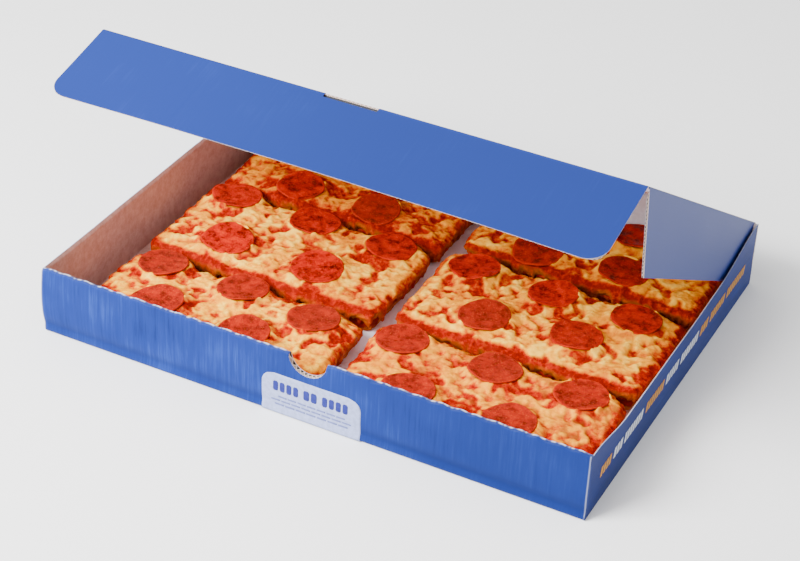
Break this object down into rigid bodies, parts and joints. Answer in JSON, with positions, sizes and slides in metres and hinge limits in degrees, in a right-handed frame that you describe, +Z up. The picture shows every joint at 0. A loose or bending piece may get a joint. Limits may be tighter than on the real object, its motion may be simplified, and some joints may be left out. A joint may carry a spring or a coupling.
{
  "type": "pizza in box",
  "caption": "Rectangular pepperoni pizza cut into slices, in a shallow corrugated-board box whose lid stands open on its back crease.",
  "frame": {"origin": "middle of the tray's underside, on the surface it stands on", "axes": "+X along the front wall, +Y from the front wall to the hinged back wall, +Z up"},
  "size_m": [0.408, 0.312, 0.2054],
  "materials": {
    "printed_board": "blue ink on white corrugated board, satin",
    "baked_crust": "baked bread, matte",
    "tomato_sauce": "cooked tomato sauce, moist",
    "melted_cheese": "melted, browned cheese, satin",
    "pepperoni": "cooked cured sausage, oily"
  },
  "bodies": {
    "tray": {"tray": "printed_board", "crust_front_left": "baked_crust", "sauce_front_left": "tomato_sauce", "cheese_front_left": "melted_cheese", "pepperoni_front_left_1": "pepperoni", "pepperoni_front_left_2": "pepperoni", "pepperoni_front_left_3": "pepperoni", "pepperoni_front_left_4": "pepperoni", "pepperoni_front_left_5": "pepperoni", "crust_middle_left": "baked_crust", "sauce_middle_left": "tomato_sauce", "cheese_middle_left": "melted_cheese", "pepperoni_middle_left_1": "pepperoni", "pepperoni_middle_left_2": "pepperoni", "pepperoni_middle_left_3": "pepperoni", "pepperoni_middle_left_4": "pepperoni", "pepperoni_middle_left_5": "pepperoni", "crust_back_left": "baked_crust", "sauce_back_left": "tomato_sauce", "cheese_back_left": "melted_cheese", "pepperoni_back_left_1": "pepperoni", "pepperoni_back_left_2": "pepperoni", "pepperoni_back_left_3": "pepperoni", "pepperoni_back_left_4": "pepperoni", "pepperoni_back_left_5": "pepperoni", "crust_front_right": "baked_crust", "sauce_front_right": "tomato_sauce", "cheese_front_right": "melted_cheese", "pepperoni_front_right_1": "pepperoni", "pepperoni_front_right_2": "pepperoni", "pepperoni_front_right_3": "pepperoni", "pepperoni_front_right_4": "pepperoni", "pepperoni_front_right_5": "pepperoni", "crust_middle_right": "baked_crust", "sauce_middle_right": "tomato_sauce", "cheese_middle_right": "melted_cheese", "pepperoni_middle_right_1": "pepperoni", "pepperoni_middle_right_2": "pepperoni", "pepperoni_middle_right_3": "pepperoni", "pepperoni_middle_right_4": "pepperoni", "pepperoni_middle_right_5": "pepperoni", "crust_back_right": "baked_crust", "sauce_back_right": "tomato_sauce", "cheese_back_right": "melted_cheese", "pepperoni_back_right_1": "pepperoni", "pepperoni_back_right_2": "pepperoni", "pepperoni_back_right_3": "pepperoni", "pepperoni_back_right_4": "pepperoni", "pepperoni_back_right_5": "pepperoni"},
    "lid": {"lid_panel": "printed_board"},
    "tuck": {"front_flap": "printed_board"},
    "flap_right": {"side_flap_right": "printed_board"},
    "flap_left": {"side_flap_left": "printed_board"}
  },
  "joints": [
    {"name": "lid_hinge", "type": "hinge", "parent": "tray", "child": "lid", "pos_m": [0, 0.156, 0.052], "axis": [-1, 0, 0], "range_deg": [-23.5, 147]},
    {"name": "tuck_fold", "type": "hinge", "parent": "lid", "child": "tuck", "pos_m": [0, -0.08355, 0.20549], "axis": [1, 0, 0], "range_deg": [-46, 44]},
    {"name": "right_flap_fold", "type": "hinge", "parent": "lid", "child": "flap_right", "pos_m": [0.2018, 0.156, 0.052], "axis": [0.0214, 0.8418, -0.5394], "range_deg": [-0.5, 50]},
    {"name": "left_flap_fold", "type": "hinge", "parent": "lid", "child": "flap_left", "pos_m": [-0.2018, 0.156, 0.052], "axis": [0.0214, -0.8418, 0.5394], "range_deg": [-0.5, 50]}
  ]
}
